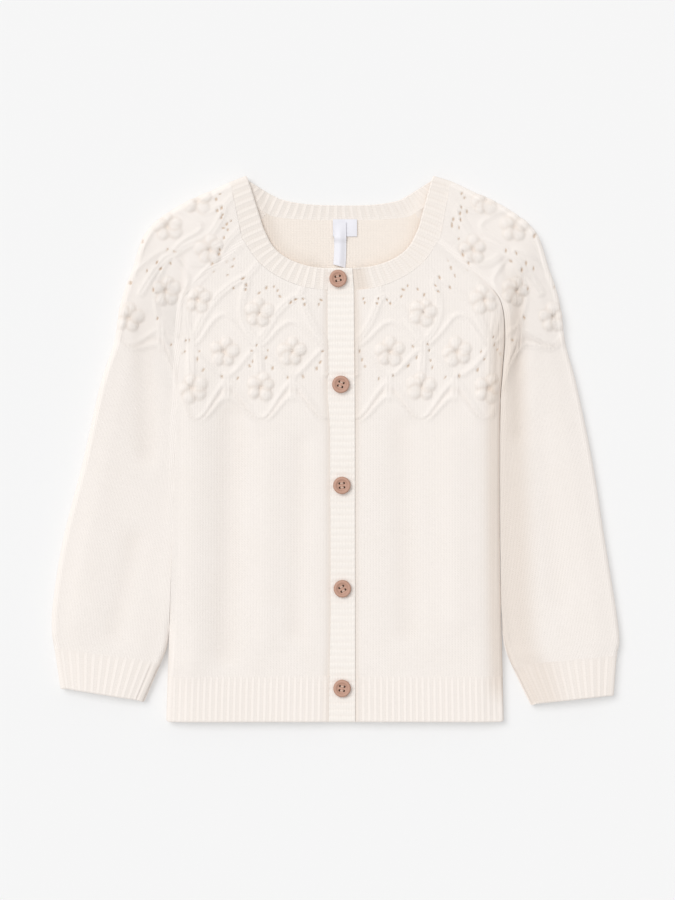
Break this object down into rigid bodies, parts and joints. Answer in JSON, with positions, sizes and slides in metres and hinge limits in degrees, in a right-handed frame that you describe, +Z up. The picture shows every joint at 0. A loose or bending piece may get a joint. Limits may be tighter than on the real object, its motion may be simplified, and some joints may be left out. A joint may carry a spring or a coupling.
{
  "type": "baby cardigan",
  "caption": "Knitted baby cardigan laid flat and buttoned, with a round yoke of raised flowers, ribbed neck, hem and cuffs, and wooden buttons.",
  "frame": {"origin": "middle of the garment's outline on the surface it lies on", "axes": "+Z up from the surface, +Y towards the neck, +X across the body to the right of the viewer from above"},
  "size_m": [0.3749, 0.3609, 0.0114],
  "materials": {
    "cream_knit": "matt, soft and slightly hairy",
    "wood_button": "satin, streaked",
    "satin_label": "satin"
  },
  "bodies": {
    "root": {"front_left": "cream_knit", "front_right": "cream_knit", "back": "cream_knit", "sleeve_left": "cream_knit", "sleeve_right": "cream_knit", "hem_rib_front_left": "cream_knit", "hem_rib_front_right": "cream_knit", "hem_rib_back": "cream_knit", "cuff_left": "cream_knit", "cuff_right": "cream_knit", "neckband": "cream_knit", "buttonhole_band": "cream_knit", "button_band": "cream_knit", "button_1": "wood_button", "button_2": "wood_button", "button_3": "wood_button", "button_4": "wood_button", "button_5": "wood_button", "neck_label": "satin_label", "care_label": "satin_label"}
  },
  "joints": []
}
